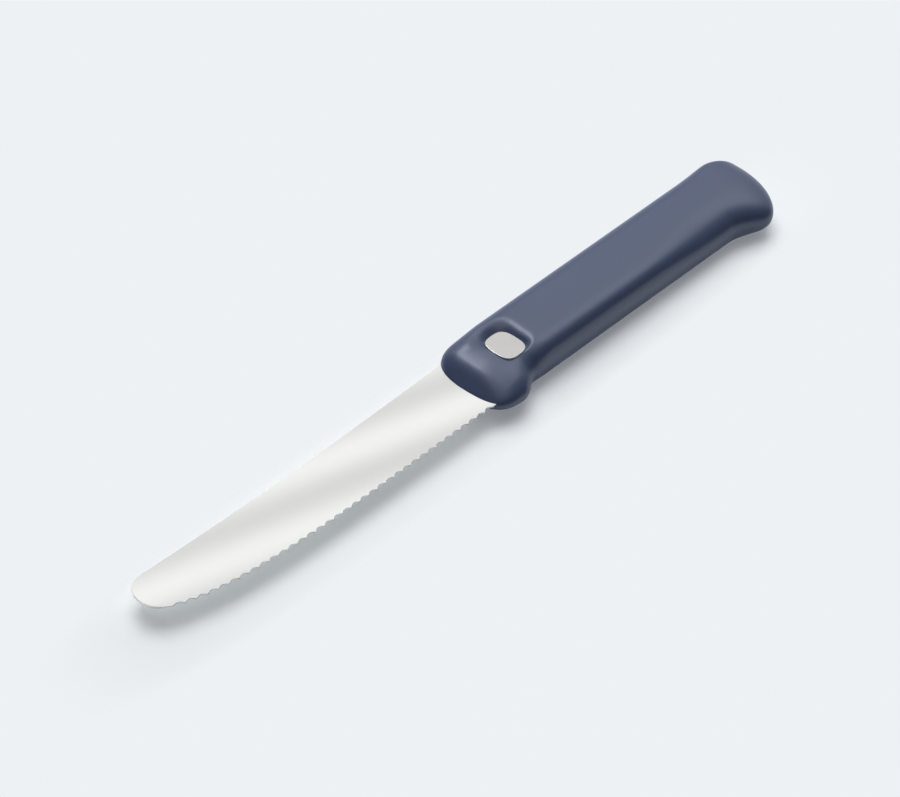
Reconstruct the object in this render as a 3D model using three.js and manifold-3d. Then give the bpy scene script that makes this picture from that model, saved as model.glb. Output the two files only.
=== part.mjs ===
// Vegetable knife: a round-tipped serrated blade held in a moulded handle, lying on its side.
// Millimetres. +X runs from the tip to the butt, +Y from the cutting edge to the spine, +Z up.
// Until the knife is set down at the end of the file, x is measured from the handle's front,
// y from the line of the cutting points and z from the middle of the blade's thickness.

import * as THREE from 'three';
import { mergeVertices } from 'three/addons/utils/BufferGeometryUtils.js';
import Module from 'manifold-3d';

// Blade
const bladeLength = 108.7; // handle front to tip
const bladeWidth = 21.1; // cutting line to spine, at the handle
const bladeThickness = 1;
const edgeThickness = 0.25; // steel left at the cutting edge, level with the upper face
const grindWidth = 1.2; // ground band under the cutting edge
const bellyLength = 68; // stretch in which the edge rises to the tip
const bellyFullness = 0.71;
const tipHeight = 14.1; // tip above the cutting line
const tipRound = 6.4; // length of the round from the tip to the spine
const tipFullness = 0.67;
const spineDrop = 0.5; // how much lower the spine is at the tip round
const spineDip = 1; // depth of the hollow along the spine
const spineDipPlace = 58; // the hollow's lowest part before the handle's front
const serrationPitch = 3.02;
const serrationDepth = 0.55;
const serrationInset = 0.8; // first cutting point behind the handle's front
const plainTip = 8; // edge left plain beside the tip, at least

// Tang
const shoulderDepth = 6; // full-width blade inside the handle
const tangWidth = 11;
const tangMiddle = 11.2; // tang centre line above the cutting line
const tangButtMargin = 28; // handle left behind the tang
const lockHoleDiameter = 4;
const frontHoleMargin = 16; // blade shoulder to the first lock hole
const rearHoleMargin = 18; // last lock hole to the tang's end

// Handle outside
const handleLength = 120;
const handleThickness = 13;
const spineOverhang = 2.2; // handle above the blade's spine, at the front
const spineRise = 0.8; // gained from the front to the butt
const gripEdge = 0.85; // straight edge side above the cutting line
const guardDrop = 3.7; // finger guard below the straight edge side
const guardPlace = 10; // end of the guard's crest
const guardFall = 8.5; // length of the hollow behind the guard
const hookDrop = 4.5; // hooked butt below the straight edge side
const hookRun = 22; // start of the hook before the butt
const hookFall = 14.4; // length in which the hook reaches its full drop
const noseRound = 9.3; // length of the rounded front, seen from above
const noseSpinePower = 2.25;
const noseEdgePower = 3;
const noseSlope = 9.5; // length of the rounded front, seen from the side
const noseSlopePower = 2;
const buttCentre = 17; // rearmost point above the cutting line
const buttSpineRound = 11; // length of the rounded butt, seen from above
const buttEdgeRound = 13.3;
const buttSlope = 12.5; // length of the rounded butt, seen from the side
const buttPower = 2;
const sectionPower = 2.3; // fullness of the shoulders
const flatShare = 0.36; // flat part of the top and the underside

// Handle inside
const gripWall = 2; // soft layer over the hard core
const clearance = 0.3; // between fitted pieces
const pegCover = 1.5; // core left over the lock pegs

// Badge and its dish
const badgePlace = 16.3; // plate centre behind the handle's front
const badgeHeight = 10.4; // plate centre above the cutting line
const badgeLength = 8.5;
const badgeWidth = 10.3;
const badgePower = 3; // roundness of the plate's sides
const badgeThickness = 0.8;
const badgeBevel = 0.15;
const badgeRecess = 1.05; // plate below the handle's top
const badgeStand = 0.2; // plate above the dish floor
const dishMargin = 2.9; // dish beyond the plate
const padThickness = 0.25;
const padInset = 0.5;
const seatDepth = 2; // height of the boss under the plate

// Fineness of the facets
const scallopSteps = 6;
const curveSteps = 12;
const gripStations = 52;
const coreStations = 36;
const gripSectionSteps = 7;
const coreSectionSteps = 5;
const squircleSteps = 48;
const dishSteps = 6;
const roundSteps = 24;

// Levels shared by the pieces
const handleTop = handleThickness / 2;
const coreInset = gripWall + clearance;
const coreTop = handleTop - coreInset;
const slotHalf = bladeThickness / 2 + clearance;
const tangEnd = handleLength - tangButtMargin;
const lockHoles = [shoulderDepth + frontHoleMargin, tangEnd - rearHoleMargin];
const pegTop = coreTop - pegCover;
const badgeTop = handleTop - badgeRecess;
const padTop = badgeTop - badgeThickness;
const seatTop = padTop - padThickness;
const dishFloor = badgeTop - badgeStand;

const wasm = await Module();
wasm.setup();

const { lerp } = THREE.MathUtils;

// Closed surface through rings of points. A ring of one point closes an end,
// and an end left open is a level outline that gets a flat face.
function skinRings(rings) {
  const positions = rings.flat().flatMap((point) => [point.x, point.y, point.z]);
  const index = [];
  let first = 0;
  for (let level = 0; level + 1 < rings.length; level += 1) {
    const lower = rings[level];
    const upper = rings[level + 1];
    const next = first + lower.length;
    const count = Math.max(lower.length, upper.length);
    for (let i = 0; i < count; i += 1) {
      const j = (i + 1) % count;
      if (lower.length > 1) index.push(first + i, first + j, next + (j % upper.length));
      if (upper.length > 1) index.push(first + (i % lower.length), next + j, next + i);
    }
    first = next;
  }
  const flatFace = (ring, start, flip) => {
    if (ring.length === 1) return;
    for (const [a, b, c] of THREE.ShapeUtils.triangulateShape(ring, [])) {
      index.push(start + a, start + (flip ? c : b), start + (flip ? b : c));
    }
  };
  flatFace(rings[0], 0, true);
  flatFace(rings.at(-1), first, false);
  const geometry = new THREE.BufferGeometry();
  geometry.setAttribute('position', new THREE.Float32BufferAttribute(positions, 3));
  geometry.setIndex(index);
  return geometry;
}

function solidOf(geometry) {
  const bare = geometry.clone();
  bare.deleteAttribute('normal');
  bare.deleteAttribute('uv');
  const merged = mergeVertices(bare);
  const vertProperties = new Float32Array(merged.attributes.position.array);
  const triVerts = new Uint32Array(merged.index.array);
  return new wasm.Manifold(new wasm.Mesh({ numProp: 3, vertProperties, triVerts }));
}

function geometryOf(solid) {
  const { vertProperties, triVerts } = solid.getMesh();
  const geometry = new THREE.BufferGeometry();
  geometry.setAttribute('position', new THREE.BufferAttribute(vertProperties, 3));
  geometry.setIndex(new THREE.BufferAttribute(triVerts, 1));
  geometry.computeVertexNormals();
  return geometry;
}

function boxBetween(low, high) {
  const size = high.map((value, axis) => value - low[axis]);
  const middle = high.map((value, axis) => (value + low[axis]) / 2);
  return solidOf(new THREE.BoxGeometry(...size).translate(...middle));
}

function uprightRod(x, y, diameter, bottom, top) {
  const rod = new THREE.CylinderGeometry(diameter / 2, diameter / 2, top - bottom, roundSteps);
  return solidOf(rod.rotateX(Math.PI / 2).translate(x, y, (bottom + top) / 2));
}

// Blade

// Curve from one point to another that leaves and arrives along the lines to a corner.
function roundCorner(path, start, corner, end, fullness) {
  const leave = start.clone().lerp(corner, fullness);
  const arrive = end.clone().lerp(corner, fullness);
  path.bezierCurveTo(leave.x, leave.y, arrive.x, arrive.y, end.x, end.y);
}

// Serrated edge from the handle to the tip: each point with its place on the grind line.
function cuttingEdge() {
  const bellyStart = new THREE.Vector2(bellyLength - bladeLength, 0);
  const tip = new THREE.Vector2(-bladeLength, tipHeight);
  const line = new THREE.Path().moveTo(shoulderDepth, 0).lineTo(bellyStart.x, bellyStart.y);
  roundCorner(line, bellyStart, new THREE.Vector2(tip.x, bellyStart.y), tip, bellyFullness);
  const length = line.getLength();
  const plainHeel = shoulderDepth - serrationInset;
  const scallops = Math.floor((length - plainHeel - plainTip) / serrationPitch);
  const serrated = plainHeel + scallops * serrationPitch;
  const places = [{ along: 0, notch: 0, grind: grindWidth }];
  for (let step = 0; step <= scallops * scallopSteps; step += 1) {
    const along = plainHeel + (step * serrationPitch) / scallopSteps;
    const notch = Math.abs(Math.sin((Math.PI * step) / scallopSteps));
    places.push({ along, notch: notch * serrationDepth, grind: grindWidth });
  }
  for (let step = 1; step < curveSteps; step += 1) {
    const share = step / curveSteps;
    places.push({ along: lerp(serrated, length, share), notch: 0, grind: grindWidth * (1 - share) });
  }
  return places.map(({ along, notch, grind }) => {
    const point = line.getPoint(along / length);
    const tangent = line.getTangent(along / length);
    const inward = new THREE.Vector2(tangent.y, -tangent.x);
    return {
      outer: point.clone().addScaledVector(inward, notch),
      inner: point.clone().addScaledVector(inward, Math.max(grind, notch)),
    };
  });
}

// Tip round, spine, shoulder and tang, back to the heel.
function bladeBack() {
  const tip = new THREE.Vector2(-bladeLength, tipHeight);
  const spineEnd = new THREE.Vector2(tipRound - bladeLength, bladeWidth - spineDrop);
  const tangHalf = tangWidth / 2;
  const path = new THREE.Path().moveTo(tip.x, tip.y);
  roundCorner(path, tip, new THREE.Vector2(tip.x, spineEnd.y), spineEnd, tipFullness);
  const dipHeight = (bladeWidth + spineEnd.y) / 2 - 2 * spineDip;
  path.quadraticCurveTo(-spineDipPlace, dipHeight, shoulderDepth, bladeWidth);
  path.lineTo(shoulderDepth, tangMiddle + tangHalf);
  path.absarc(tangEnd - tangHalf, tangMiddle, tangHalf, Math.PI / 2, -Math.PI / 2, true);
  path.lineTo(shoulderDepth, tangMiddle - tangHalf);
  return path.getPoints(curveSteps).map((point) => ({ outer: point, inner: point }));
}

function makeBlade() {
  const outline = [...cuttingEdge(), ...bladeBack()].reverse();
  const ring = (side, z) => outline.map((place) => new THREE.Vector3(place[side].x, place[side].y, z));
  const blank = skinRings([
    ring('inner', -bladeThickness / 2),
    ring('outer', bladeThickness / 2 - edgeThickness),
    ring('outer', bladeThickness / 2),
  ]);
  const holes = lockHoles.map((x) =>
    uprightRod(x, tangMiddle, lockHoleDiameter, -bladeThickness, bladeThickness));
  return holes.reduce((blade, hole) => blade.subtract(hole), solidOf(blank));
}

// Handle form

// Rounded end: 0 at the end itself, 1 from the given reach on.
function roundEnd(distance, reach, power) {
  const left = 1 - THREE.MathUtils.clamp(distance / reach, 0, 1);
  return (1 - left ** power) ** (1 / power);
}

// The handle's two sides and the line between them, which runs to the rearmost point in the hook.
function handleSides(x) {
  const pastGuard = THREE.MathUtils.clamp((x - guardPlace) / guardFall, 0, 1);
  const intoHook = THREE.MathUtils.clamp((x - handleLength + hookRun) / hookFall, 0, 1);
  const hookShare = Math.sin((Math.PI / 2) * intoHook) ** 2;
  const guard = guardDrop * Math.cos((Math.PI / 2) * pastGuard) ** 2;
  const spine = bladeWidth + spineOverhang + spineRise * (x / handleLength);
  const edge = gripEdge - guard - hookDrop * hookShare;
  return { spine, edge, centre: lerp((spine + edge) / 2, buttCentre, hookShare) };
}

// Section of the handle at x, drawn in by the inset on every side.
function handleSection(x, inset, steps) {
  const { spine, edge, centre } = handleSides(x);
  const fromFront = x - inset;
  const fromButt = handleLength - inset - x;
  const spineHalf = (spine - inset - centre)
    * roundEnd(fromFront, noseRound - inset, noseSpinePower)
    * roundEnd(fromButt, buttSpineRound - inset, buttPower);
  const edgeHalf = (centre - edge - inset)
    * roundEnd(fromFront, noseRound - inset, noseEdgePower)
    * roundEnd(fromButt, buttEdgeRound - inset, buttPower);
  const height = (handleTop - inset)
    * roundEnd(fromFront, noseSlope - inset, noseSlopePower)
    * roundEnd(fromButt, buttSlope - inset, buttPower);
  const quarter = [];
  for (let step = 0; step <= steps; step += 1) {
    const angle = (Math.PI / 2) * (step / steps);
    const out = step === steps ? 0 : Math.cos(angle) ** (2 / sectionPower);
    quarter.push({ out: lerp(flatShare, 1, out), up: Math.sin(angle) ** (2 / sectionPower) });
  }
  const over = [
    ...quarter.map(({ out, up }) => ({ y: spineHalf * out, z: height * up })),
    ...quarter.toReversed().map(({ out, up }) => ({ y: -edgeHalf * out, z: height * up })),
  ];
  const under = over.slice(1, -1).toReversed().map(({ y, z }) => ({ y, z: -z }));
  return [...over, ...under].map(({ y, z }) => new THREE.Vector3(x, centre + y, z));
}

// The handle's whole form, or one drawn in by an inset, with closer sections towards both ends.
function handleForm(inset, stations, steps) {
  const rings = [];
  for (let station = 0; station <= stations; station += 1) {
    const share = (1 - Math.cos((Math.PI * station) / stations)) / 2;
    const x = lerp(inset, handleLength - inset, share);
    const end = station === 0 || station === stations;
    const pole = new THREE.Vector3(x, handleSides(x).centre, 0);
    rings.push(end ? [pole] : handleSection(x, inset, steps));
  }
  return solidOf(skinRings(rings));
}

// Room for the blade's shoulder and its tang.
function bladeRoom() {
  const shoulder = boxBetween(
    [-noseRound, -clearance, -slotHalf],
    [shoulderDepth + clearance, bladeWidth + clearance, slotHalf],
  );
  const tangReach = tangWidth / 2 + clearance;
  const tang = boxBetween(
    [shoulderDepth, tangMiddle - tangReach, -slotHalf],
    [tangEnd + clearance, tangMiddle + tangReach, slotHalf],
  );
  return shoulder.add(tang);
}

// Badge outlines

function squircleRing(grow, z) {
  const ring = [];
  for (let step = 0; step < squircleSteps; step += 1) {
    const angle = (2 * Math.PI * step) / squircleSteps;
    const round = (value) => Math.sign(value) * Math.abs(value) ** (2 / badgePower);
    const x = badgePlace + (badgeLength / 2 + grow) * round(Math.cos(angle));
    const y = badgeHeight + (badgeWidth / 2 + grow) * round(Math.sin(angle));
    ring.push(new THREE.Vector3(x, y, z));
  }
  return ring;
}

// Upright block with the plate's outline, grown or shrunk level by level.
function squircleBlock(levels) {
  return solidOf(skinRings(levels.map(({ grow, z }) => squircleRing(grow, z))));
}

function dishCutter() {
  const levels = [];
  for (let step = 0; step <= dishSteps; step += 1) {
    const share = step / dishSteps;
    const rise = THREE.MathUtils.smoothstep(share, 0, 1);
    levels.push({ grow: lerp(clearance, dishMargin, share), z: lerp(dishFloor, handleTop, rise) });
  }
  levels.push({ grow: dishMargin, z: handleTop + badgeThickness });
  return squircleBlock(levels);
}

// Handle pieces

function makeGrip() {
  const badgeWindow = squircleBlock([
    { grow: clearance, z: seatTop - seatDepth },
    { grow: clearance, z: handleTop },
  ]);
  return handleForm(0, gripStations, gripSectionSteps)
    .subtract(handleForm(gripWall, coreStations, coreSectionSteps))
    .subtract(bladeRoom())
    .subtract(dishCutter())
    .subtract(badgeWindow);
}

// Half of the hard core, above or below the parting plane, hollowed for the blade.
function coreHalf(side) {
  const reach = handleLength + handleThickness + bladeWidth;
  const parting = clearance / 2;
  const keep = side > 0
    ? boxBetween([-reach, -reach, parting], [reach, reach, reach])
    : boxBetween([-reach, -reach, -reach], [reach, reach, -parting]);
  return handleForm(coreInset, coreStations, coreSectionSteps).intersect(keep).subtract(bladeRoom());
}

function makeUpperCore() {
  const aboveSeat = squircleBlock([
    { grow: clearance, z: seatTop },
    { grow: clearance, z: handleTop },
  ]);
  const boss = squircleBlock([
    { grow: 0, z: seatTop - seatDepth },
    { grow: 0, z: seatTop },
  ]);
  const sockets = lockHoles.map((x) =>
    uprightRod(x, tangMiddle, lockHoleDiameter, 0, pegTop + clearance));
  const seated = coreHalf(1).subtract(aboveSeat).add(boss);
  return sockets.reduce((core, socket) => core.subtract(socket), seated);
}

function makeLowerCore() {
  const pegDiameter = lockHoleDiameter - 2 * clearance;
  const pegs = lockHoles.map((x) =>
    uprightRod(x, tangMiddle, pegDiameter, -slotHalf - pegCover / 2, pegTop));
  return pegs.reduce((core, peg) => core.add(peg), coreHalf(-1));
}

function makePad() {
  return squircleBlock([
    { grow: -padInset, z: seatTop },
    { grow: -padInset, z: padTop },
  ]);
}

function makeBadge() {
  return squircleBlock([
    { grow: 0, z: padTop },
    { grow: 0, z: badgeTop - badgeBevel },
    { grow: -badgeBevel, z: badgeTop },
  ]);
}

// Materials

const bladeSteel = new THREE.MeshStandardMaterial({ color: 0xdcdcd8, roughness: 0.3, metalness: 1 });
const navyGrip = new THREE.MeshStandardMaterial({ color: 0x3b455e, roughness: 0.55, metalness: 0 });
const darkCore = new THREE.MeshStandardMaterial({ color: 0x2a3042, roughness: 0.6, metalness: 0 });
const padFoam = new THREE.MeshStandardMaterial({ color: 0x5c5c5a, roughness: 0.9, metalness: 0 });
const badgeSteel = new THREE.MeshStandardMaterial({ color: 0xd8d4d0, roughness: 0.38, metalness: 1 });

// Assembly

const knife = new THREE.Group();

function addPiece(name, solid, material) {
  const piece = new THREE.Mesh(geometryOf(solid), material);
  piece.name = name;
  knife.add(piece);
}

addPiece('blade', makeBlade(), bladeSteel);
addPiece('core_upper_half', makeUpperCore(), darkCore);
addPiece('core_lower_half', makeLowerCore(), darkCore);
addPiece('grip', makeGrip(), navyGrip);
addPiece('badge_adhesive_pad', makePad(), padFoam);
addPiece('badge_plate', makeBadge(), badgeSteel);

// The knife lies on the grip's flat underside, with the middle of its box over the origin.
const box = new THREE.Box3().setFromObject(knife);
const middle = box.getCenter(new THREE.Vector3());
knife.position.set(-middle.x, -middle.y, -box.min.z);

export default knife;
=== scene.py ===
import math

import bmesh
import bpy
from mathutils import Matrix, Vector
from mathutils.geometry import interpolate_bezier


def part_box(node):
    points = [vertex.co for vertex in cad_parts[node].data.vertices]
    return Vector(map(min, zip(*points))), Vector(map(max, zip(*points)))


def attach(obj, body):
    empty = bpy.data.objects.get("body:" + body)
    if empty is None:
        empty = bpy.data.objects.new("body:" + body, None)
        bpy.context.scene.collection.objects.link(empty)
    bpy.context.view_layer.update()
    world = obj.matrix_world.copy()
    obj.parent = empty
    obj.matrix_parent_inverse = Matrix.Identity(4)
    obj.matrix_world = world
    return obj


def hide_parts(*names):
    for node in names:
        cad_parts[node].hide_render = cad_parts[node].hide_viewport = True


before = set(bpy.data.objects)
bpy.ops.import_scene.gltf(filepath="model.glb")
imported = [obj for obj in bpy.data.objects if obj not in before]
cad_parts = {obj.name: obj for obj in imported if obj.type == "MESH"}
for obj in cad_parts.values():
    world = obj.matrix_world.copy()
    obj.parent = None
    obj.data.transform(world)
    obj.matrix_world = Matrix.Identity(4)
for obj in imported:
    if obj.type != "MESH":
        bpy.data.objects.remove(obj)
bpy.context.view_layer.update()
print("frame loaded:", ", ".join(sorted(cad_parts)))

# the pieces are worked out in millimetres: x from the handle's front, y from the cutting line,
# z from the middle of the blade's thickness
mm = 0.001
handleLength = 120
plainSharp = 30  # edges that turn by more degrees stay sharp, on the stage and the cutters
bladeLow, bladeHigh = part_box("blade")
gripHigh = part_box("grip")[1]
home = Vector((gripHigh.x - handleLength * mm, bladeLow.y, (bladeLow.z + bladeHigh.z) / 2))


def place(x, y, z):
    return home + Vector((x, y, z)) * mm


def clamp(value):
    return min(max(value, 0), 1)


def lerp(low, high, share):
    return low + (high - low) * share


def smooth(value):
    share = clamp(value)
    return share * share * (3 - 2 * share)


# one ring of vertices from a circle, moved to its points
def ringOf(bm, points):
    made = bmesh.ops.create_circle(bm, segments=len(points), radius=1)
    for vert, point in zip(made["verts"], points):
        vert.co = point
    return list({edge for vert in made["verts"] for edge in vert.link_edges})


def bridgeAll(bm, rings):
    for lower, upper in zip(rings, rings[1:]):
        bmesh.ops.bridge_loops(bm, edges=lower + upper)


def softenShading(mesh, sharpAngle):
    mesh.shade_smooth()
    mesh.set_sharp_from_angle(angle=math.radians(sharpAngle))


def pieceOf(name, bm, sharpAngle):
    bmesh.ops.recalc_face_normals(bm, faces=bm.faces)
    mesh = bpy.data.meshes.new(name)
    bm.to_mesh(mesh)
    bm.free()
    piece = bpy.data.objects.new(name, mesh)
    bpy.context.scene.collection.objects.link(piece)
    softenShading(mesh, sharpAngle)
    return piece


# cutters are used up by the cut
def cutAway(piece, cutters, sharpAngle):
    for cutter in cutters:
        modifier = piece.modifiers.new("cut", "BOOLEAN")
        modifier.operation = "DIFFERENCE"
        modifier.solver = "EXACT"
        modifier.object = cutter
    graph = bpy.context.evaluated_depsgraph_get()
    mesh = bpy.data.meshes.new_from_object(piece.evaluated_get(graph))
    mesh.name = piece.name
    piece.modifiers.clear()
    piece.data = mesh
    for cutter in cutters:
        bpy.data.objects.remove(cutter)
    softenShading(mesh, sharpAngle)


# Shader expressions

class Value:
    def __init__(self, finish, socket):
        self.finish = finish
        self.socket = socket

    def joined(self, operation, first, second):
        settings = {"operation": operation}
        return self.finish.add("ShaderNodeMath", settings, {0: first, 1: second})

    def __add__(self, other):
        return self.joined("ADD", self, other)

    def __radd__(self, other):
        return self.joined("ADD", other, self)

    def __sub__(self, other):
        return self.joined("SUBTRACT", self, other)

    def __rsub__(self, other):
        return self.joined("SUBTRACT", other, self)

    def __mul__(self, other):
        return self.joined("MULTIPLY", self, other)

    def __rmul__(self, other):
        return self.joined("MULTIPLY", other, self)


class Finish:
    def __init__(self, owner):
        owner.use_nodes = True
        self.owner = owner
        self.nodes = owner.node_tree.nodes
        self.links = owner.node_tree.links
        self.nodes.clear()

    def add(self, kind, settings=None, inputs=None, output=0):
        node = self.nodes.new(kind)
        for name, setting in (settings or {}).items():
            setattr(node, name, setting)
        for key, given in (inputs or {}).items():
            if isinstance(given, Value):
                self.links.new(given.socket, node.inputs[key])
            else:
                node.inputs[key].default_value = given
        if len(node.outputs) == 0:
            return node
        return Value(self, node.outputs[output])


def newFinish(name):
    return Finish(bpy.data.materials.new(name))


def grey(level):
    return (level, level, level, 1)


def fromScreen(red, green, blue):
    def linear(channel):
        share = channel / 255
        return share / 12.92 if share <= 0.04045 else ((share + 0.055) / 1.055) ** 2.4
    return (linear(red), linear(green), linear(blue), 1)


# Camera

photoCamera = {
    "place": (-0.41968, -0.39665, 0.53819),
    "tilt": 47,
    "turn": -45.93,
    "lens": 120,
    "sensor": 36,
}


def makeCamera():
    data = bpy.data.cameras.new("photoCamera")
    data.lens = photoCamera["lens"]
    data.sensor_width = photoCamera["sensor"]
    data.sensor_fit = "HORIZONTAL"
    camera = bpy.data.objects.new("photoCamera", data)
    camera.location = photoCamera["place"]
    camera.rotation_euler = (math.radians(photoCamera["tilt"]), 0, math.radians(photoCamera["turn"]))
    bpy.context.scene.collection.objects.link(camera)
    bpy.context.scene.camera = camera


# Studio

studio = {
    "floorSize": 8,
    "paper": fromScreen(237, 241, 244),
    "shadowMiddle": (-0.004, -0.001),
    "shadowReach": (0.155, 0.022),  # past this the paper shows plain
    "clearFrom": 0.25,
    "clearTo": 0.75,
    "sky": 1,
    "horizon": 0.35,
    "hazeFrom": 0.1,  # height of a look, as a share of its length
    "hazeTo": 0.55,
    "panelDistance": 3.2,
    "flagRadius": 1.9,
    "flagFrom": 95,
    "flagTo": 345,
    "flagLow": 2,
    "flagHigh": 65,
    "flagSteps": (12, 32),  # up and round
    "flagColour": grey(0.01),
}

panels = {
    "overheadPanel": {
        "direction": (0.2, 0.28, 1), "size": (2.4, 2.4), "power": 44.4,
        "shadow": True, "diffuse": True, "gloss": False},
    "fillPanel": {
        "direction": (0.25, 0.7, 1), "size": (0.6, 0.6), "power": 30.2,
        "shadow": False, "diffuse": True, "gloss": False},
    "keyPanel": {
        "direction": (0.1, 0.56, 0.82), "size": (1.2, 1.0), "power": 32,
        "shadow": True, "diffuse": False, "gloss": True},
    "sidePanel": {
        "direction": (0.53, 0.02, 0.84), "size": (1.8, 1.4), "power": 12,
        "shadow": True, "diffuse": False, "gloss": True},
}


def makeFloor():
    bm = bmesh.new()
    bmesh.ops.create_grid(bm, x_segments=1, y_segments=1, size=studio["floorSize"] / 2)
    floor = pieceOf("paperFloor", bm, plainSharp)
    finish = newFinish("palePaper")
    shadowed = finish.add("ShaderNodeBsdfDiffuse", {}, {"Color": studio["paper"]})
    plain = finish.add("ShaderNodeEmission", {}, {"Color": studio["paper"]})
    spot = finish.add("ShaderNodeTexCoord", {}, {}, "Object")
    middleX, middleY = studio["shadowMiddle"]
    reachX, reachY = studio["shadowReach"]
    along = (finish.add("ShaderNodeSeparateXYZ", {}, {0: spot}, "X") - middleX) * (1 / reachX)
    across = (finish.add("ShaderNodeSeparateXYZ", {}, {0: spot}, "Y") - middleY) * (1 / reachY)
    away = along * along * along * along + across * across * across * across
    clear = finish.add(
        "ShaderNodeMapRange", {"interpolation_type": "SMOOTHSTEP"},
        {"Value": away, "From Min": studio["clearFrom"], "From Max": studio["clearTo"]})
    seen = sum(finish.add("ShaderNodeLightPath", {}, {}, "Is %s Ray" % kind)
               for kind in ("Camera", "Glossy", "Transmission"))
    shader = finish.add("ShaderNodeMixShader", {}, {0: clear * seen, 1: shadowed, 2: plain})
    finish.add("ShaderNodeOutputMaterial", {}, {"Surface": shader})
    floor.data.materials.append(finish.owner)


# dark cloth round the front of the table, out of the camera's sight
def makeFlag():
    bm = bmesh.new()
    start = math.radians(studio["flagFrom"])
    sweep = math.radians(studio["flagTo"] - studio["flagFrom"])
    levels, turns = studio["flagSteps"]
    verts = []
    for step in range(levels + 1):
        rise = math.radians(lerp(studio["flagLow"], studio["flagHigh"], step / levels))
        reach = studio["flagRadius"] * math.cos(rise)
        height = studio["flagRadius"] * math.sin(rise)
        spot = (reach * math.cos(start), reach * math.sin(start), height)
        verts.append(bmesh.ops.create_vert(bm, co=spot)["vert"][0])
    edges = [bm.edges.new(pair) for pair in zip(verts, verts[1:])]
    bmesh.ops.spin(bm, geom=verts + edges, cent=(0, 0, 0), axis=(0, 0, 1), angle=sweep, steps=turns)
    flag = pieceOf("darkFlag", bm, plainSharp)
    finish = newFinish("darkCloth")
    shader = finish.add("ShaderNodeBsdfDiffuse", {}, {"Color": studio["flagColour"]})
    finish.add("ShaderNodeOutputMaterial", {}, {"Surface": shader})
    flag.data.materials.append(finish.owner)
    flag.visible_camera = False


def makeLights():
    world = bpy.data.worlds.new("paleRoom")
    bpy.context.scene.world = world
    finish = Finish(world)
    look = finish.add("ShaderNodeTexCoord", {}, {}, "Generated")
    height = finish.add("ShaderNodeSeparateXYZ", {}, {0: look}, "Z")
    level = finish.add(
        "ShaderNodeMapRange", {"interpolation_type": "SMOOTHSTEP"},
        {"Value": height, "From Min": studio["hazeFrom"], "From Max": studio["hazeTo"],
         "To Min": studio["horizon"], "To Max": studio["sky"]})
    seen = finish.add("ShaderNodeLightPath", {}, {}, "Is Camera Ray")
    colour = finish.add(
        "ShaderNodeMix", {"data_type": "RGBA"}, {0: seen, 6: level, 7: studio["paper"]}, 2)
    room = finish.add("ShaderNodeBackground", {}, {"Color": colour})
    finish.add("ShaderNodeOutputWorld", {}, {"Surface": room})
    for name, panel in panels.items():
        data = bpy.data.lights.new(name, "AREA")
        data.shape = "RECTANGLE"
        data.size, data.size_y = panel["size"]
        data.energy = panel["power"]
        data.use_shadow = panel["shadow"]
        lamp = bpy.data.objects.new(name, data)
        lamp.visible_diffuse = panel["diffuse"]
        lamp.visible_glossy = panel["gloss"]
        direction = Vector(panel["direction"]).normalized()
        lamp.location = direction * studio["panelDistance"]
        lamp.rotation_euler = direction.to_track_quat("Z", "Y").to_euler()
        bpy.context.scene.collection.objects.link(lamp)


makeCamera()
makeFloor()
makeFlag()
makeLights()
scene = bpy.context.scene
scene.view_settings.view_transform = "Standard"
print("studio and camera set")


# Blade

blade = {
    "length": 108.7,
    "width": 21.1,
    "thickness": 1,
    "edge": 0.25,  # steel left at the cutting edge
    "ease": 0.06,  # broken corner of the upper and lower face
    "belly": 68,
    "bellyFullness": 0.71,
    "tipHeight": 14.1,
    "tipRound": 6.4,
    "tipFullness": 0.67,
    "spineDrop": 0.5,
    "spineDip": 1,
    "dipPlace": 58,
    "pitch": 3.02,
    "notch": 0.78,
    "firstPoint": 0.8,
    "plainTip": 8,
    "fluteShallow": 0.75,  # ground flute at the cutting points and between them
    "fluteDeep": 1.35,
    "shoulder": 6,
    "tangWidth": 11,
    "tangMiddle": 11.2,
    "tangEnd": 92,
    "lockHoles": (22, 74),
    "lockHole": 4,
    "notchSteps": 12,
    "curveSteps": 48,
    "finerCurve": 4,  # times as many on the edge and the tip
    "sharpAngle": 20,
}


def curveTo(start, corner, end, fullness):
    leave = start.lerp(corner, fullness)
    arrive = end.lerp(corner, fullness)
    return interpolate_bezier(start, leave, arrive, end, blade["finerCurve"] * blade["curveSteps"])


# points of a line at given distances, each with the line's direction there
def walk(line, distances):
    found = []
    index = 0
    passed = 0
    for distance in distances:
        step = (line[index + 1] - line[index]).length
        while passed + step < distance and index + 2 < len(line):
            passed += step
            index += 1
            step = (line[index + 1] - line[index]).length
        way = (line[index + 1] - line[index]).normalized()
        found.append((line[index] + way * (distance - passed), way))
    return found


def lengthOf(line):
    return sum((end - start).length for start, end in zip(line, line[1:]))


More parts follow.
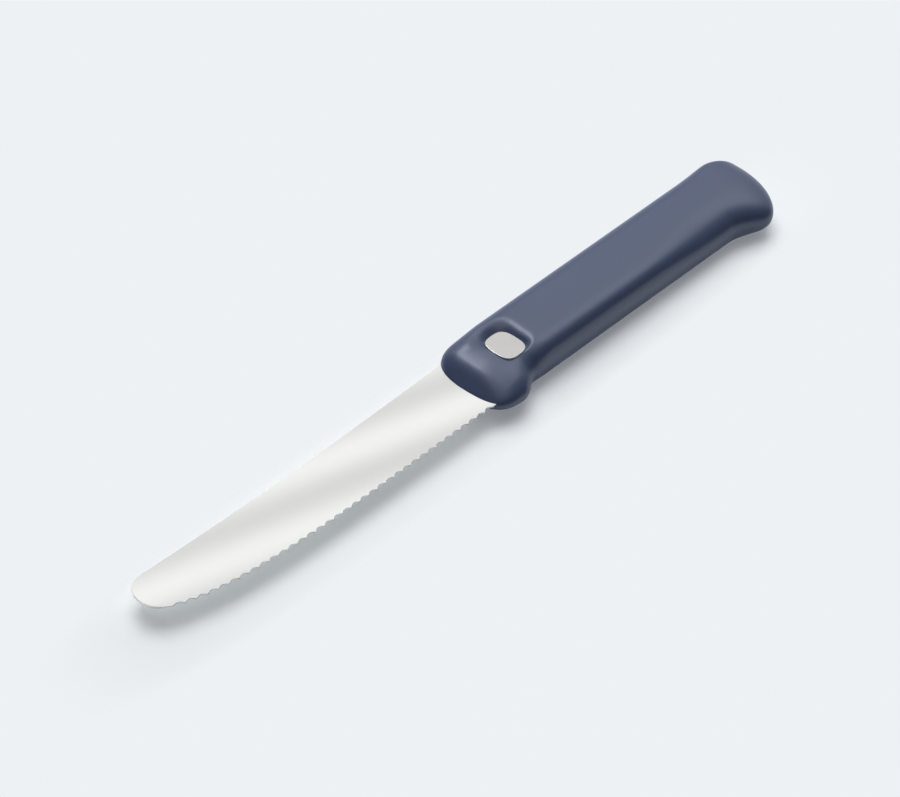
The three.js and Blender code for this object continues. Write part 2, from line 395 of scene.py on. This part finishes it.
# outline from the heel along the edge to the tip and back along the spine and the tang:
# each place has its point, the way into the steel and the width of the ground flute
def bladeOutline():
    tip = Vector((-blade["length"], blade["tipHeight"]))
    heel = Vector((blade["shoulder"], 0))
    bellyStart = Vector((blade["belly"] - blade["length"], 0))
    edge = [heel] + curveTo(bellyStart, Vector((tip.x, 0)), tip, blade["bellyFullness"])
    total = lengthOf(edge)
    plainHeel = blade["shoulder"] - blade["firstPoint"]
    scallops = int((total - plainHeel - blade["plainTip"]) / blade["pitch"])
    serrated = plainHeel + scallops * blade["pitch"]
    spots = [(0, 0)]
    for step in range(scallops * blade["notchSteps"] + 1):
        share = step / blade["notchSteps"]
        spots.append((plainHeel + share * blade["pitch"], abs(math.sin(math.pi * share))))
    for step in range(1, blade["curveSteps"]):
        spots.append((lerp(serrated, total, step / blade["curveSteps"]), 0))
    places = []
    for (distance, hollow), (point, way) in zip(spots, walk(edge, [spot[0] for spot in spots])):
        inward = Vector((way.y, -way.x))
        flute = lerp(blade["fluteShallow"], blade["fluteDeep"], hollow)
        flute *= clamp((total - distance) / (total - serrated))
        places.append((point + inward * hollow * blade["notch"], inward, max(flute, blade["ease"])))
    spineEnd = Vector((blade["tipRound"] - blade["length"], blade["width"] - blade["spineDrop"]))
    spineHeel = Vector((blade["shoulder"], blade["width"]))
    dip = Vector((-blade["dipPlace"], (spineHeel.y + spineEnd.y) / 2 - 2 * blade["spineDip"]))
    back = curveTo(tip, Vector((tip.x, spineEnd.y)), spineEnd, blade["tipFullness"])
    back += interpolate_bezier(
        spineEnd, spineEnd.lerp(dip, 2 / 3), spineHeel.lerp(dip, 2 / 3), spineHeel, blade["curveSteps"])[1:]
    reach = blade["tangWidth"] / 2
    back.append(Vector((blade["shoulder"], blade["tangMiddle"] + reach)))
    for step in range(blade["curveSteps"] + 1):
        turn = math.pi * step / blade["curveSteps"]
        middle = Vector((blade["tangEnd"] - reach, blade["tangMiddle"]))
        back.append(middle + Vector((math.sin(turn), math.cos(turn))) * reach)
    back.append(Vector((blade["shoulder"], blade["tangMiddle"] - reach)))
    ring = [point for point, inward, flute in places] + back
    for index in range(len(places), len(ring)):
        way = (ring[(index + 1) % len(ring)] - ring[index - 1]).normalized()
        places.append((ring[index], Vector((way.y, -way.x)), blade["ease"]))
    return places


def makeBlade():
    outline = bladeOutline()
    half = blade["thickness"] / 2
    ease = blade["ease"]
    bm = bmesh.new()

    def ring(inset, z):
        points = [point + inward * inset(flute) for point, inward, flute in outline]
        return ringOf(bm, [place(point.x, point.y, z) for point in points])

    under = ring(lambda flute: flute, -half)
    lip = ring(lambda flute: 0, half - blade["edge"])
    side = ring(lambda flute: 0, half - ease)
    top = ring(lambda flute: ease, half)
    bridgeAll(bm, [under, lip, side, top])
    topHoles = []
    underHoles = []
    for x in blade["lockHoles"]:
        pair = []
        for z in (half, -half):
            middle = place(x, blade["tangMiddle"], z)
            points = []
            for step in range(blade["curveSteps"]):
                turn = 2 * math.pi * step / blade["curveSteps"]
                aside = Vector((math.cos(turn), math.sin(turn), 0)) * blade["lockHole"] / 2
                points.append(middle + aside * mm)
            pair.append(ringOf(bm, points))
        bridgeAll(bm, pair)
        topHoles += pair[0]
        underHoles += pair[1]
    bmesh.ops.triangle_fill(bm, use_beauty=True, edges=top + topHoles, normal=(0, 0, 1))
    bmesh.ops.triangle_fill(bm, use_beauty=True, edges=under + underHoles, normal=(0, 0, -1))
    return pieceOf("serratedBlade", bm, blade["sharpAngle"])


# Grip

grip = {
    "halfThickness": 6.5,
    "spineSide": 23.3,
    "spineRise": 0.8,
    "edgeSide": 0.85,
    "guardDrop": 3.7,
    "guardPlace": 10,
    "guardFall": 8.5,
    "hookDrop": 4.5,
    "hookRun": 22,
    "hookFall": 14.4,
    "noseRound": 9.3,
    "noseSpinePower": 2.5,
    "noseEdgePower": 3,
    "noseSlope": 9.5,
    "buttCentre": 17,
    "buttSpineRound": 11,
    "buttEdgeRound": 13.3,
    "buttSlope": 12.5,
    "endPower": 2,
    "shoulderPower": 2.3,
    "flatShare": 0.36,
    "guardPower": 1.8,  # the top falls away to the edge side in one round, softest at both ends
    "underPower": 1.9,
    "crownPower": 3.1,
    "buttPower": 2.15,
    "crownFlat": 0.23,
    "crownRise": (15, 25),
    "crownEase": (58, 92),
    "wall": 2.25,
    "slotPlay": 0.04,
    "windowPlay": 0.07,
    "windowDepth": 4,
    "stations": 280,
    "frontCrowd": 1.25,
    "upperSteps": (56, 10),
    "lowerSteps": (16, 4),
    "innerStations": 48,
    "innerSteps": (8, 3),
    "sharpAngle": 40,
}

badge = {
    "place": (16.3, 10.4),
    "size": (8.5, 10.3),
    "power": 3,
    "thickness": 0.8,
    "recess": 1.05,  # below the handle's top
    "stand": 0.2,  # above the dish floor
    "bevel": 0.18,
    "bevelSteps": 4,
    "steps": 128,
    "sharpAngle": 50,
}

# scooped dish round the badge: how far its lip lies from the badge's middle, and the lowered nose
dish = {
    "rear": 9,
    "spine": 9.3,
    "edge": 5.7,
    "front": 8,
    "spineLipPower": 4,  # a squarer corner towards the spine
    "edgeLipPower": 2.6,
    "rearPower": 2.9,
    "spinePower": 1.2,
    "rearSink": 0.65,  # extra depth at the foot of the rear and spine walls
    "spineSink": 1.15,
    "footOut": 0.6,  # foot of the spine wall, past the badge's rim
    "openFrom": 19,  # where the handle starts to give way to the nose
    "openMiddle": 12.5,  # and where the nose is whole: in line with the badge and on either side
    "openSpine": 3.5,
    "openEdge": 5,
    "spineAside": 8.4,
    "edgeAside": 10,
    "sag": 0.0186,
    "noseFoot": 0.4,
    "noseLean": 0.84,
    "noseBlend": 1,
    "wallMiddle": 0.5,  # the walls stand to the rear and the spine, and fade out on the other sides
    "wallGain": 0.8,
    "still": 0.001,  # least distance from the badge's middle that has a direction
}


def roundEnd(distance, reach, power):
    left = 1 - clamp(distance / reach)
    return (1 - left ** power) ** (1 / power)


def handleSides(x):
    hookTurn = math.pi / 2 * clamp((x - handleLength + grip["hookRun"]) / grip["hookFall"])
    hookShare = math.sin(hookTurn) ** 2
    guardTurn = math.pi / 2 * clamp((x - grip["guardPlace"]) / grip["guardFall"])
    guard = grip["guardDrop"] * math.cos(guardTurn) ** 2
    spine = grip["spineSide"] + grip["spineRise"] * x / handleLength
    edge = grip["edgeSide"] - guard - grip["hookDrop"] * hookShare
    return spine, edge, lerp((spine + edge) / 2, grip["buttCentre"], hookShare)


# unit section, from the spine side over the top and back below: each point has its side, its half
# (1 above the blade and -1 below it), its share of the flat and its turn round the shoulder
def sectionProfile(upperSteps, lowerSteps):
    quarterTurn = math.pi / 2
    points = []
    for half, (shoulderSteps, flatSteps) in ((1, upperSteps), (-1, lowerSteps)):
        quarter = [(1, quarterTurn * step / shoulderSteps) for step in range(shoulderSteps)]
        quarter += [(1 - step / flatSteps, quarterTurn) for step in range(flatSteps)]
        over = [(1, half, *spot) for spot in quarter] + [(1, half, 0, quarterTurn)]
        over += [(-1, half, *spot) for spot in reversed(quarter)]
        points += over if half > 0 else reversed(over[1:-1])
    return points


# half widths towards the spine and the edge, and half the height, with the rounded ends
def handleReach(x, inset):
    spine, edge, centre = handleSides(x)
    fromFront = x - inset
    fromButt = handleLength - inset - x
    noseRound = grip["noseRound"] - inset
    spineHalf = (spine - inset - centre) * roundEnd(fromFront, noseRound, grip["noseSpinePower"])
    spineHalf *= roundEnd(fromButt, grip["buttSpineRound"] - inset, grip["endPower"])
    edgeHalf = (centre - edge - inset) * roundEnd(fromFront, noseRound, grip["noseEdgePower"])
    edgeHalf *= roundEnd(fromButt, grip["buttEdgeRound"] - inset, grip["endPower"])
    height = grip["halfThickness"] - inset
    height *= roundEnd(fromFront, grip["noseSlope"] - inset, grip["endPower"])
    height *= roundEnd(fromButt, grip["buttSlope"] - inset, grip["endPower"])
    return spineHalf, edgeHalf, height


# how round the edge side is at a place above and below the blade, and how much of it is flat
def crownAt(x, half):
    riseFrom, riseTo = grip["crownRise"]
    easeFrom, easeTo = grip["crownEase"]
    risen = smooth((x - riseFrom) / (riseTo - riseFrom))
    if half < 0:
        under = smooth(x / riseTo)
        return lerp(grip["underPower"], grip["shoulderPower"], under), grip["flatShare"] * under
    eased = smooth((x - easeFrom) / (easeTo - easeFrom))
    power = lerp(lerp(grip["guardPower"], grip["crownPower"], risen), grip["buttPower"], eased)
    return power, grip["crownFlat"] * risen * (1 - eased)


def handleRing(x, inset, profile, shaped):
    centre = handleSides(x)[2]
    spineHalf, edgeHalf, height = handleReach(x, inset)
    points = []
    for side, half, flat, turn in profile:
        crowned = shaped and side < 0
        power, flatShare = crownAt(x, half) if crowned else (grip["shoulderPower"], grip["flatShare"])
        out = lerp(math.cos(turn) ** (2 / power), flat, flatShare)
        up = math.sin(turn) ** (2 / power)
        y = centre + out * (spineHalf if side > 0 else -edgeHalf)
        z = half * up * height
        if shaped and half > 0:
            z = scooped(x, y, z, up)
        points.append((x, y, z))
    return points


# distance from the middle to a squared-off oval, in a direction
def ovalReach(along, across, halfX, halfY, power):
    return 1 / ((abs(along) / halfX) ** power + (abs(across) / halfY) ** power) ** (1 / power)


# level of the dish at a place, and its share in the shape there: 1 on its floor and 0 beyond its lip
def dishAt(x, y):
    floor = grip["halfThickness"] - badge["recess"] - badge["stand"]
    away = Vector((x - badge["place"][0], y - badge["place"][1]))
    distance = max(away.length, dish["still"])
    along, across = away / distance
    foot = ovalReach(along, across, badge["size"][0] / 2, badge["size"][1] / 2, badge["power"])
    halfX = dish["rear"] if along > 0 else dish["front"]
    halfY = dish["spine"] if across > 0 else dish["edge"]
    lipPower = dish["spineLipPower"] if across > 0 else dish["edgeLipPower"]
    lip = ovalReach(along, across, halfX, halfY, lipPower)
    walled = smooth(dish["wallMiddle"] + dish["wallGain"] * (along + across))
    spineShare = across * across
    foot += dish["footOut"] * walled * spineShare
    left = 1 - clamp((distance - foot) / (lip - foot))
    power = lerp(dish["rearPower"], dish["spinePower"], spineShare)
    sink = lerp(dish["rearSink"], dish["spineSink"], spineShare)
    return floor - sink * walled, lerp(smooth(left), left ** power, walled)


# level of the nose in front of the dish
def noseLevel(x):
    floor = grip["halfThickness"] - badge["recess"] - badge["stand"]
    front = badge["place"][0] - badge["size"][0] / 2
    top = floor - dish["sag"] * max(front - x, 0) ** 2
    rise = dish["noseFoot"] + dish["noseLean"] * x
    mix = clamp(0.5 + 0.5 * (top - rise) / dish["noseBlend"])
    return lerp(top, rise, mix) - dish["noseBlend"] * mix * (1 - mix)


# height of the handle's top with the dish and the lowered nose taken off
def scooped(x, y, z, up):
    aside = y - badge["place"][1]
    if aside > 0:
        openTo = lerp(dish["openMiddle"], dish["openSpine"], smooth(aside / dish["spineAside"]))
    else:
        openTo = lerp(dish["openMiddle"], dish["openEdge"], clamp(-aside / dish["edgeAside"]) ** 2)
    opened = smooth((dish["openFrom"] - x) / (dish["openFrom"] - openTo))
    lowered = lerp(z, min(z, up * noseLevel(x)), opened)
    floor, share = dishAt(x, y)
    return lerp(lowered, min(lowered, floor), share)


def handleLoft(name, inset, count, profile, shaped):
    bm = bmesh.new()
    rings = []
    for station in range(1, count):
        crowd = (station / count) ** grip["frontCrowd"]
        x = lerp(inset, handleLength - inset, (1 - math.cos(math.pi * crowd)) / 2)
        rings.append(ringOf(bm, [place(*point) for point in handleRing(x, inset, profile, shaped)]))
    bridgeAll(bm, rings)
    for ring, x in ((rings[0], inset), (rings[-1], handleLength - inset)):
        cap = bmesh.ops.edgeloop_fill(bm, edges=ring)["faces"]
        pole = bmesh.ops.poke(bm, faces=cap)["verts"][0]
        pole.co = place(x, handleSides(x)[2], 0)
    return pieceOf(name, bm, grip["sharpAngle"])


def squared(value):
    return math.copysign(abs(value) ** (2 / badge["power"]), value)


def squircle(grow, z):
    middleX, middleY = badge["place"]
    points = []
    for step in range(badge["steps"]):
        turn = 2 * math.pi * step / badge["steps"]
        x = middleX + (badge["size"][0] / 2 + grow) * squared(math.cos(turn))
        y = middleY + (badge["size"][1] / 2 + grow) * squared(math.sin(turn))
        points.append(place(x, y, z))
    return points


# closes a ring and raises it to a block, and gives the edges of its upper rim
def raiseRing(bm, ring, height):
    face = bmesh.ops.edgeloop_fill(bm, edges=ring)["faces"]
    made = bmesh.ops.extrude_face_region(bm, geom=face)["geom"]
    raised = [item for item in made if isinstance(item, bmesh.types.BMVert)]
    bmesh.ops.translate(bm, verts=raised, vec=(0, 0, height * mm))
    return [item for item in made if isinstance(item, bmesh.types.BMEdge)]


def bladeSlot():
    play = grip["slotPlay"]
    half = blade["thickness"] / 2 + play
    low = place(-grip["noseRound"], -play, -half)
    high = place(blade["shoulder"], blade["width"] + play, half)
    bm = bmesh.new()
    cube = bmesh.ops.create_cube(bm, size=1)["verts"]
    bmesh.ops.scale(bm, vec=high - low, verts=cube)
    bmesh.ops.translate(bm, vec=(low + high) / 2, verts=cube)
    return pieceOf("slotCutter", bm, plainSharp)


def badgeWindow():
    bm = bmesh.new()
    deep = grip["windowDepth"]
    ring = ringOf(bm, squircle(grip["windowPlay"], grip["halfThickness"] - deep))
    raiseRing(bm, ring, 2 * deep)
    return pieceOf("windowCutter", bm, plainSharp)


def makeGrip():
    fine = sectionProfile(grip["upperSteps"], grip["lowerSteps"])
    plain = sectionProfile(grip["innerSteps"], grip["innerSteps"])
    outer = handleLoft("satinGrip", 0, grip["stations"], fine, True)
    inner = handleLoft("coreCutter", grip["wall"], grip["innerStations"], plain, False)
    cutAway(outer, [inner, bladeSlot(), badgeWindow()], grip["sharpAngle"])
    return outer


def makeBadge():
    bm = bmesh.new()
    top = grip["halfThickness"] - badge["recess"]
    ring = ringOf(bm, squircle(0, top - badge["thickness"]))
    rim = raiseRing(bm, ring, badge["thickness"])
    bmesh.ops.bevel(
        bm, geom=rim, offset=badge["bevel"] * mm, affect="EDGES", segments=badge["bevelSteps"],
        profile=0.5, material=-1)
    return pieceOf("bareBadge", bm, badge["sharpAngle"])


# Finishes

navy = {
    "dark": fromScreen(59, 70, 98),
    "light": fromScreen(63, 74, 102),
    "cloudScale": 60,
    "cloudDetail": 3,
    "grainScale": 5200,
    "grainDetail": 2,
    "bump": 0.08,
    "bumpDepth": 0.00002,
    "satin": 0.34,  # roughness of the top
    "satinSpread": 0.06,
    "mattBelow": 0.25,  # more roughness low down on the sides
    "mattFrom": -2,
    "mattTo": 1,
    "refraction": 1.6,
    "glint": (0.86, 0.91, 1, 1),
}


def satinNavy():
    finish = newFinish("satinNavy")
    spot = finish.add("ShaderNodeTexCoord", {}, {}, "Object")
    cloud = finish.add(
        "ShaderNodeTexNoise", {},
        {"Vector": spot, "Scale": navy["cloudScale"], "Detail": navy["cloudDetail"]})
    grain = finish.add(
        "ShaderNodeTexNoise", {},
        {"Vector": spot, "Scale": navy["grainScale"], "Detail": navy["grainDetail"]})
    colour = finish.add(
        "ShaderNodeMix", {"data_type": "RGBA"},
        {0: cloud, 6: navy["dark"], 7: navy["light"]}, 2)
    bump = finish.add(
        "ShaderNodeBump", {},
        {"Strength": navy["bump"], "Distance": navy["bumpDepth"], "Height": grain})
    height = finish.add("ShaderNodeSeparateXYZ", {}, {0: spot}, "Z")
    mattFrom = place(0, 0, navy["mattFrom"]).z
    mattTo = place(0, 0, navy["mattTo"]).z
    matt = finish.add(
        "ShaderNodeMapRange", {"interpolation_type": "SMOOTHSTEP"},
        {"Value": height, "From Min": mattFrom, "From Max": mattTo,
         "To Min": navy["mattBelow"], "To Max": 0})
    roughness = navy["satin"] + navy["satinSpread"] * cloud + matt
    shader = finish.add(
        "ShaderNodeBsdfPrincipled", {},
        {"Base Color": colour, "Roughness": roughness, "Normal": bump, "IOR": navy["refraction"],
         "Specular Tint": navy["glint"]})
    finish.add("ShaderNodeOutputMaterial", {}, {"Surface": shader})
    return finish.owner


steel = {
    # the two greys between which the painted reflection bands run
    "dark": fromScreen(216, 216, 214),
    "light": fromScreen(242, 242, 240),
    "stretch": (30, 4000, 4000),  # fine lines along the blade
    "lineDetail": 3,
    "reflectionLean": 3.54,  # painted reflection: soft light and dark bands slanting across the steel, painted into the base colour in place of the studio's reflection
    "reflectionPlace": -26.1,
    "reflectionPitch": 71,
    "lineTone": 0.1,
    "metal": 0.5,
    "satin": 0.08,
    "satinSpread": 0.04,
    "bump": 0.05,
    "bumpDepth": 0.00001,
}


def satinSteel():
    finish = newFinish("satinSteel")
    spot = finish.add("ShaderNodeTexCoord", {}, {}, "Object")
    stretched = finish.add("ShaderNodeMapping", {}, {"Vector": spot, "Scale": steel["stretch"]})
    lines = finish.add(
        "ShaderNodeTexNoise", {}, {"Vector": stretched, "Scale": 1, "Detail": steel["lineDetail"]})
    along = finish.add("ShaderNodeSeparateXYZ", {}, {0: spot}, "X")
    across = finish.add("ShaderNodeSeparateXYZ", {}, {0: spot}, "Y")
    # painted reflection: the base colour rises and falls in soft slanting bands that stand in for the
    # reflection of the lights, with the steel's real brushed lines mixed in
    slant = along + steel["reflectionLean"] * across - steel["reflectionPlace"] * mm
    turn = slant * (2 * math.pi / (steel["reflectionPitch"] * mm))
    wave = finish.add("ShaderNodeMath", {"operation": "COSINE"}, {0: turn})
    paintedReflectionAndLines = 0.5 + 0.5 * wave + steel["lineTone"] * (lines - 0.5)
    colour = finish.add(
        "ShaderNodeMix", {"data_type": "RGBA"},
        {0: paintedReflectionAndLines, 6: steel["dark"], 7: steel["light"]}, 2)
    bump = finish.add(
        "ShaderNodeBump", {},
        {"Strength": steel["bump"], "Distance": steel["bumpDepth"], "Height": lines})
    roughness = steel["satin"] + steel["satinSpread"] * lines
    shader = finish.add(
        "ShaderNodeBsdfPrincipled", {},
        {"Base Color": colour, "Metallic": steel["metal"], "Roughness": roughness, "Normal": bump})
    finish.add("ShaderNodeOutputMaterial", {}, {"Surface": shader})
    return finish.owner


brushed = {
    "dark": fromScreen(188, 186, 184),
    "light": fromScreen(208, 206, 204),
    "stretch": (6000, 300, 6000),  # fine lines across the handle
    "lineDetail": 3,
    "metal": 0.5,
    "satin": 0.14,
    "satinSpread": 0.06,
    "bump": 0.1,
    "bumpDepth": 0.00001,
}


def brushedBadge():
    finish = newFinish("brushedBadge")
    spot = finish.add("ShaderNodeTexCoord", {}, {}, "Object")
    stretched = finish.add("ShaderNodeMapping", {}, {"Vector": spot, "Scale": brushed["stretch"]})
    lines = finish.add(
        "ShaderNodeTexNoise", {}, {"Vector": stretched, "Scale": 1, "Detail": brushed["lineDetail"]})
    colour = finish.add(
        "ShaderNodeMix", {"data_type": "RGBA"},
        {0: lines, 6: brushed["dark"], 7: brushed["light"]}, 2)
    bump = finish.add(
        "ShaderNodeBump", {},
        {"Strength": brushed["bump"], "Distance": brushed["bumpDepth"], "Height": lines})
    roughness = brushed["satin"] + brushed["satinSpread"] * lines
    shader = finish.add(
        "ShaderNodeBsdfPrincipled", {},
        {"Base Color": colour, "Metallic": brushed["metal"], "Roughness": roughness, "Normal": bump})
    finish.add("ShaderNodeOutputMaterial", {}, {"Surface": shader})
    return finish.owner


hidden = {
    "coreDark": fromScreen(38, 44, 60),
    "coreLight": fromScreen(46, 52, 70),
    "coreRough": 0.5,
    "padDark": fromScreen(86, 86, 84),
    "padLight": fromScreen(100, 100, 97),
    "padRough": 0.85,
    "roughSpread": 0.1,
    "cloudScale": 400,
    "cloudDetail": 4,
    "bump": 0.1,
    "bumpDepth": 0.00005,
}


def plainFinish(name, dark, light, roughness):
    finish = newFinish(name)
    spot = finish.add("ShaderNodeTexCoord", {}, {}, "Object")
    cloud = finish.add(
        "ShaderNodeTexNoise", {},
        {"Vector": spot, "Scale": hidden["cloudScale"], "Detail": hidden["cloudDetail"]})
    colour = finish.add("ShaderNodeMix", {"data_type": "RGBA"}, {0: cloud, 6: dark, 7: light}, 2)
    bump = finish.add(
        "ShaderNodeBump", {},
        {"Strength": hidden["bump"], "Distance": hidden["bumpDepth"], "Height": cloud})
    shader = finish.add(
        "ShaderNodeBsdfPrincipled", {},
        {"Base Color": colour, "Roughness": roughness + hidden["roughSpread"] * cloud, "Normal": bump})
    finish.add("ShaderNodeOutputMaterial", {}, {"Surface": shader})
    return finish.owner


def dress(piece, finish, node):
    piece.data.materials.clear()
    piece.data.materials.append(finish)
    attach(piece, "root")
    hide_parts(node)


dress(makeBlade(), satinSteel(), "blade")
print("blade made")
dress(makeGrip(), satinNavy(), "grip")
print("grip made")
dress(makeBadge(), brushedBadge(), "badge_plate")
print("badge made")

hardCore = plainFinish("hardCore", hidden["coreDark"], hidden["coreLight"], hidden["coreRough"])
padFoam = plainFinish("padFoam", hidden["padDark"], hidden["padLight"], hidden["padRough"])
for node, finish in (
        ("core_upper_half", hardCore), ("core_lower_half", hardCore), ("badge_adhesive_pad", padFoam)):
    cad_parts[node].data.materials.clear()
    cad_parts[node].data.materials.append(finish)
print("inner pieces finished")
